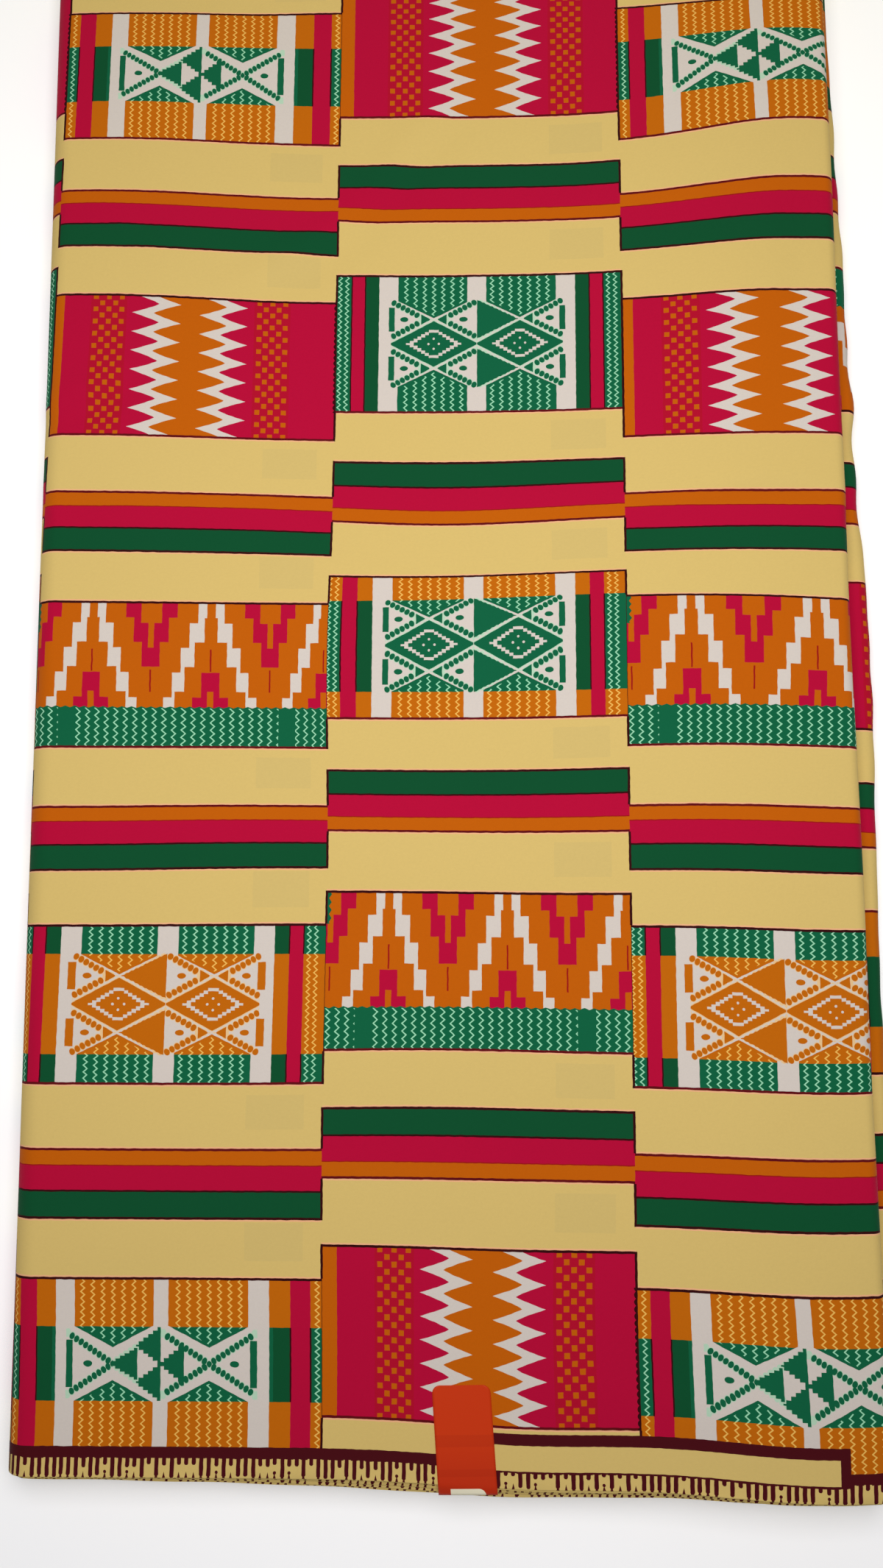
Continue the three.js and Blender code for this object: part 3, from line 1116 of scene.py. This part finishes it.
        # the ink of each zone
        in_middle = (b < s.scaled(narrow, -5.5, 17.3)) | beads
        orange = s.scaled(middle - ends, in_middle, ends)
        green = s.paint(inks.green, inks.deep_green, s.near(a, 40.0, 2.6))
        zone = s.paint(green, inks.frame_orange, orange)
        pale = s.paint(inks.pale_on_green, inks.pale_on_orange, orange)
        bleeding = (bead_reach < 1.5) | (s.near(lozenge_reach, 9.3, 0.2) & ~narrow)
        white = s.paint(inks.white, pale, bleeding & (a < 32.6) & in_middle * 0.6)
        colour = s.paint(white, zone, motif | field_part | (a > s.scaled(narrow, -1.2, 37.4)))
        colour = s.paint(colour, pale, lines)
        ribbon = abs(s.scaled(narrow, -0.5, a - 45.3))
        ribbon_half = s.scaled(narrow, 0.5, 2.6)
        colour = s.paint(colour, inks.crimson, ribbon < ribbon_half)
        colour = s.paint(colour, inks.outline, s.near(ribbon, ribbon_half, 0.25) & ~orange)
        s.give("Colour", colour)
        return s.tree

    def stepped(self) -> bpy.types.ShaderNodeTree:
        """A block of stepped arches above a band of zigzag lines."""
        s = Sketch("stepped_block", ("Across", "Along"), {"Colour": "Color"})
        p, h = s.given
        inks, arch, thread_half = self.inks, 42.2, 0.28
        x = s.nearest(p - 22.7, arch)
        d = arch / 2 - x
        upper = s.floor((58.4 - h) * (1 / 9.3))
        lower = s.floor((56.4 - h) * (1 / 9.35))
        inner_leg = s.math("MAXIMUM", s.scaled(upper, 3.4, -1.1), 1.5)
        legs = (s.scaled(lower, -2.95, x) < 4.6) & (x > inner_leg)
        drops = (s.scaled(upper, 3.0, d) < 9.2) & (s.scaled(lower, 2.7, d) > 3.7) & (upper < 2.5)
        arches = (s.scaled(lower, -3.1, x) < -6.1) & (s.scaled(upper, -2.1, x) > -7.3) & (lower > 2.5)
        colour = s.paint(inks.orange, inks.white, legs)
        colour = s.paint(colour, inks.crimson, drops | arches)
        threads = (x < thread_half) & s.near(h, 32.9, 4.2)
        threads = threads | ((d < thread_half) & s.near(h, 25.2, 4.2))
        colour = s.paint(colour, inks.red_line, threads)
        bump = s.nearest(p, 3.4) * 0.35
        band = (bump + (h - 15.6)) < 0.0
        zig = s.nearest(h, 2.7)
        lines = s.nearest(zig * 1.1 + (p - 2.0), 3.4) < 0.3
        lines = lines & ~(s.near(p, 13.5, 2.6) | s.near(p, 92.6, 3.2))
        green = s.paint(inks.green, inks.pale_on_green, lines & (h < 14.9))
        colour = s.paint(colour, green, band)
        edge = (s.scaled(zig, 0.7, p) < 1.9) & (h > 44.0)
        s.give("Colour", s.paint(colour, inks.green, edge))
        return s.tree

    def flamed(self) -> bpy.types.ShaderNodeTree:
        """A block of long white flames between crimson and orange, with two columns of checks."""
        s = Sketch("flamed_block", ("Across", "Along", "Shift"), {"Colour": "Color"})
        place, h, shift = s.given
        inks, flame, bend, depth, check_x, check_y = self.inks, 7.4, 1.22, -10.3, 2.5, 2.4
        p = place - shift
        strip = s.scaled(shift, -0.3, place) < 4.0
        down = s.nearest(h, flame) * (2 / flame)
        right = s.math("POWER", 1.0 - down, bend)
        left = 1.0 - s.math("POWER", down, bend)
        from_left = s.scaled(left, depth, p)
        from_right = s.scaled(right, depth, p)
        flames = ((s.near(from_left, 43.1, 13.0) & (from_right < 38.5))
                  | ((from_left > 56.0) & (from_right < 64.2)))
        between = (from_right > 38.4) & (from_left < 56.1)
        a = abs(p - 52.5)
        cell = a - 25.2
        column = s.floor(cell * (1 / check_x))
        odd = s.wrapped(column + s.floor(h * (1 / check_y)), 2.0)
        square = (s.nearest(cell, check_x) > 0.33) & (s.nearest(h, check_y) > 0.28) & (odd < 0.5)
        checks = s.near(a, 31.45, 6.25)
        colour = s.paint(inks.crimson, inks.check_field, s.near(a, 31.4, 6.9))
        colour = s.paint(colour, inks.orange, between | (square & checks) | strip)
        s.give("Colour", s.paint(colour, inks.white, flames))
        return s.tree

    def hem(self) -> bpy.types.ShaderNodeTree:
        """The selvedge: a comb of short strokes under a maroon band, and a bare bordered panel."""
        s = Sketch("selvedge", ("Along", "From edge"), {"Colour": "Color", "Mask": "Float"})
        u, e = s.given
        inks, stroke = self.inks, 2.5
        panel = s.near(u, 59.0, 57.0)
        cell = u * (1 / stroke)
        number = s.floor(cell)
        first, second, third = s.chance(number)
        across = s.scaled(second, 0.12, cell - number) - 0.56
        short = first > 0.56
        low = s.scaled(short, s.scaled(third, 0.9, 2.9), s.scaled(second, 0.8, 0.1))
        above = e - low
        half = s.math("MINIMUM", s.scaled(above, 0.3, 0.14), 0.28)
        gap = (abs(across) < half) & (above > 0.0)
        x = across * stroke
        dot = (s.squares(x, e - 1.95) < 0.3) & (first > 0.84)
        notch = ((s.scaled(e, 0.1, abs(across)) < 0.21)
                 & (s.near(first, 0.32, 0.22) | (first > 0.66)) & (e > 0.12))
        top = s.scaled(panel, -1.0, s.scaled(third, 0.3, 6.05))
        comb = (e < top) & ~(gap | dot | notch)
        bare = s.near(u, 57.5, 55.3) & s.near(e, 10.0, 4.1)
        s.give("Colour", s.paint(inks.maroon, inks.cream, comb | bare))
        s.give("Mask", (e < self.selvedge) | (panel & (e < 17.8)))
        return s.tree

    def stripes(self, s: Sketch, across: Field) -> Field:
        """The stripes' colours, from their place across the band."""
        inks = self.inks
        size = 2 * self.stripes_half
        bands = ((0.0, inks.soft_outline), (0.8, inks.orange), (5.5, inks.red_line), (5.8, inks.crimson),
                 (13.85, inks.outline), (14.5, inks.deep_green), (size - 0.85, inks.outline))
        return s.ramp(across * (1 / size), [(place / size, colour) for place, colour in bands])

    def tree(self) -> bpy.types.ShaderNodeTree:
        """The whole print, from the place along it, across it and from the selvedge."""
        framed, stepped, flamed, hem = self.framed(), self.stepped(), self.flamed(), self.hem()
        s = Sketch("wax_print", ("Along", "Across", "From edge"), {"Colour": "Color"})
        u, v, e = s.given
        inks = self.inks
        fine_u, fine_v, _ = s.noise(u, v, 0.45)
        wobble = self.wobble
        u = s.scaled(fine_u, wobble, u - wobble / 2)
        v = s.scaled(fine_v, wobble, v - wobble / 2)
        e = s.scaled(fine_u, wobble, e - wobble / 2)
        c = (u - self.column_start) * (1 / self.column)
        index = s.floor(c)
        p = (c - index) * self.column
        odd = s.wrapped(index, 2.0)
        r = s.scaled(odd, self.shift / self.row, (v - self.first_row) * (1 / self.row))
        k = s.floor(r)
        h = (r - k) * self.row
        # a line down the columns' edges, where ink meets cream
        other = s.wrapped(s.scaled(odd, -self.shift, v - (self.first_row - self.shift)), self.row)
        middle, change = self.stripes_middle, self.stripes_shift
        own = (h < self.block) | s.near(h, s.scaled(odd, -change, middle), self.stripes_half)
        beside = ((other < self.block)
                  | s.near(other, s.scaled(odd, change, middle - change), self.stripes_half))
        edge = s.nearest(u - self.column_start, self.column)
        fourth = s.wrapped(k, 4.0)
        is_first, is_last = s.same(fourth, 0.0), s.same(fourth, 3.0)
        before = p > self.column / 2
        shifted_side = abs(before - odd)
        scalloped = s.scaled(is_first - is_last, shifted_side, is_last)
        bump = s.nearest(h, 2.2)
        reach = s.scaled(s.scaled(bump * -0.5, bump, 0.62), before, 0.16) & scalloped
        reach = s.scaled(is_last & shifted_side, 0.32, reach + 0.1)
        column_line = (((edge < self.column_line_half) & abs(own - beside))
                       | ((edge < reach) & own & beside & (h < self.block)))
        # colours
        kind = s.scaled(odd, 4.0, fourth)
        make = abs(kind - 3.5)
        is_narrow = s.same(kind, 4.0)
        is_fifth, is_second = s.same(kind, 5.0), s.same(kind, 2.0)
        framed_p = s.scaled(is_narrow, 0.5, s.scaled(is_second | is_fifth, 1.0, p))
        block, = s.call(framed, framed_p, h, odd, is_narrow, is_fifth, is_narrow | is_second)
        colour, = s.call(stepped, p, h)
        block = s.paint(block, colour, s.same(make, 2.5))
        colour, = s.call(flamed, p, h, s.scaled(odd, -4.4, 4.4))
        block = s.paint(block, colour, make > 3.0)
        block = s.paint(block, inks.soft_outline, h < self.line)
        block = s.paint(block, inks.outline, h > self.block - self.line)
        show = s.near(p, 91.8, 10.2) & (s.near(h, 109.8, 5.8) | s.near(h, 67.0, 6.2))
        colour = s.paint(inks.cream, inks.shadow, show)
        # the dyes bleed a little into the cream
        from_middle = s.scaled(odd, change, h - middle)
        bleeding = (h < self.block + self.bleed) | (h > self.row - self.bleed)
        bleeding = bleeding | (abs(from_middle) < self.stripes_half + self.bleed)
        colour = s.paint(colour, inks.bleed, bleeding * self.bleed_strength)
        colour = s.paint(colour, block, h < self.block)
        striped = abs(from_middle) < self.stripes_half
        mirrored = s.scaled(from_middle, s.scaled(odd, -2.0, 1.0), self.stripes_half)
        colour = s.paint(colour, self.stripes(s, mirrored), striped)
        colour = s.paint(colour, inks.outline, column_line)
        selvedge, mask = s.call(hem, u, e)
        colour = s.paint(colour, selvedge, mask)
        s.give("Colour", colour)
        return s.tree


@dataclass(frozen=True)
class Finish:
    """A surface's finish, under a print that lies at each point's own place."""

    roughness: float
    specular: float

    def material(self, name: str, drawing: bpy.types.ShaderNodeTree) -> bpy.types.Material:
        """A material coloured by a drawing of a place's numbers."""
        material = bpy.data.materials.new(name)
        material.use_nodes = True
        nodes, links = material.node_tree.nodes, material.node_tree.links
        place = nodes.new("ShaderNodeAttribute")
        place.attribute_name = PLACE
        split = nodes.new("ShaderNodeSeparateXYZ")
        links.new(place.outputs["Vector"], split.inputs[0])
        group = nodes.new("ShaderNodeGroup")
        group.node_tree = drawing
        for source, target in zip(split.outputs, group.inputs):
            links.new(source, target)
        colour = self.coloured(material, place.outputs["Vector"], group.outputs["Colour"])
        shader = nodes["Principled BSDF"]
        links.new(colour, shader.inputs["Base Color"])
        set_inputs(shader, {"Roughness": self.roughness, "Specular IOR Level": self.specular})
        return material

    def coloured(self, material: bpy.types.Material, place: bpy.types.NodeSocket,
                 colour: bpy.types.NodeSocket) -> bpy.types.NodeSocket:
        """The colour as this finish shows it."""
        return colour


@dataclass(frozen=True)
class Cotton(Finish):
    """Finish of the printed cotton, slightly uneven like dyed cloth."""

    roughness: float = 0.82
    specular: float = 0.06
    sheen: float = 0.02
    mottle: float = 0.03

    def coloured(self, material: bpy.types.Material, place: bpy.types.NodeSocket,
                 colour: bpy.types.NodeSocket) -> bpy.types.NodeSocket:
        """The colour, a little lighter and darker from place to place."""
        nodes, links = material.node_tree.nodes, material.node_tree.links
        noise = nodes.new("ShaderNodeTexNoise")
        set_inputs(noise, {"Scale": 0.9, "Detail": 4.0, "Roughness": 0.75})
        links.new(place, noise.inputs["Vector"])
        value = nodes.new("ShaderNodeMapRange")
        set_inputs(value, {"From Min": 0.25, "From Max": 0.75,
                           "To Min": 1 - self.mottle, "To Max": 1 + self.mottle})
        links.new(noise.outputs["Fac"], value.inputs["Value"])
        tint = nodes.new("ShaderNodeHueSaturation")
        links.new(value.outputs["Result"], tint.inputs["Value"])
        links.new(colour, tint.inputs["Color"])
        set_inputs(nodes["Principled BSDF"], {"Sheen Weight": self.sheen})
        return tint.outputs["Color"]


@dataclass(frozen=True)
class StickerPaper(Finish):
    """Finish of the blank sticker: orange-red coated paper with a pale patch at its lower edge, and faint
    bands of painted shade where it drapes over the selvedge panel's borders.
    """

    roughness: float = 0.42
    specular: float = 0.15
    red: Colour = ink(200, 54, 10)
    low_red: Colour = ink(186, 44, 12)
    # painted shade for the sticker's shallow creases over the panel's borders
    band: Colour = ink(160, 34, 8)
    pale: Colour = ink(244, 236, 206)

    def tree(self) -> bpy.types.ShaderNodeTree:
        """The sticker's colour, from its own place across and along."""
        s = Sketch("sticker_print", ("Across", "Along"), {"Colour": "Color"})
        x, y = s.given
        colour = s.paint(self.low_red, self.red, s.scaled(y, 0.06, 0.1))
        # painted shade: faint darker bands where the sticker drapes over the panel's borders beneath it
        under = s.near(y, 14.5, 1.9) | s.near(y, 4.3, 1.2)
        colour = s.paint(colour, self.band, under * 0.22)
        corner = s.squares(s.past(x, 3.6), s.past(y, -3.1))
        patch = (corner < 5.8) & (x > -5.7)
        s.give("Colour", s.paint(colour, self.pale, patch & (y < -0.7)))
        return s.tree


# ---- The piece, dressed and reported ----

@dataclass
class FoldedCloth:
    """The whole part: its cloth, its hidden plies and its sticker."""

    form: StackForm

    def build(self) -> list[bpy.types.Object]:
        """Makes every piece and tells the frame what it is."""
        cloth = OuterCloth(self.form)
        upper, lower = cloth.upper(), cloth.lower()
        plies = InnerPlies(self.form).build()
        sticker = Sticker(self.form).build()
        wax = WaxPrint().tree()
        cotton = Cotton().material("printed_cotton", wax)
        edges = Cotton(roughness=0.9).material("printed_cotton_edges", wax)
        for piece, material in ((upper, cotton), (lower, cotton), (plies, edges)):
            piece.data.materials.append(material)
        paper = StickerPaper()
        sticker.data.materials.append(paper.material("label_paper", paper.tree()))
        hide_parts("outer_ply")
        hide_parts("outer_ply")
        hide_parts("inner_layers")
        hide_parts("label")
        pieces = [upper, lower, plies, sticker]
        for piece in pieces:
            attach(piece, "root")
        return pieces


def report(pieces: Iterable[bpy.types.Object]) -> None:
    """Logs each piece's size and faces."""
    for piece in pieces:
        size = ", ".join(f"{value * 1000:.0f}" for value in piece.dimensions)
        log.info("%s: %s mm, %d faces", piece.name, size, len(piece.data.polygons))


def main() -> None:
    """Builds the studio and the folded cloth, and reports each piece."""
    logging.basicConfig(level=logging.INFO, format="%(name)s: %(message)s")
    Camera().build()
    Studio().build()
    report(FoldedCloth(StackForm()).build())


if __name__ == "__main__":
    main()
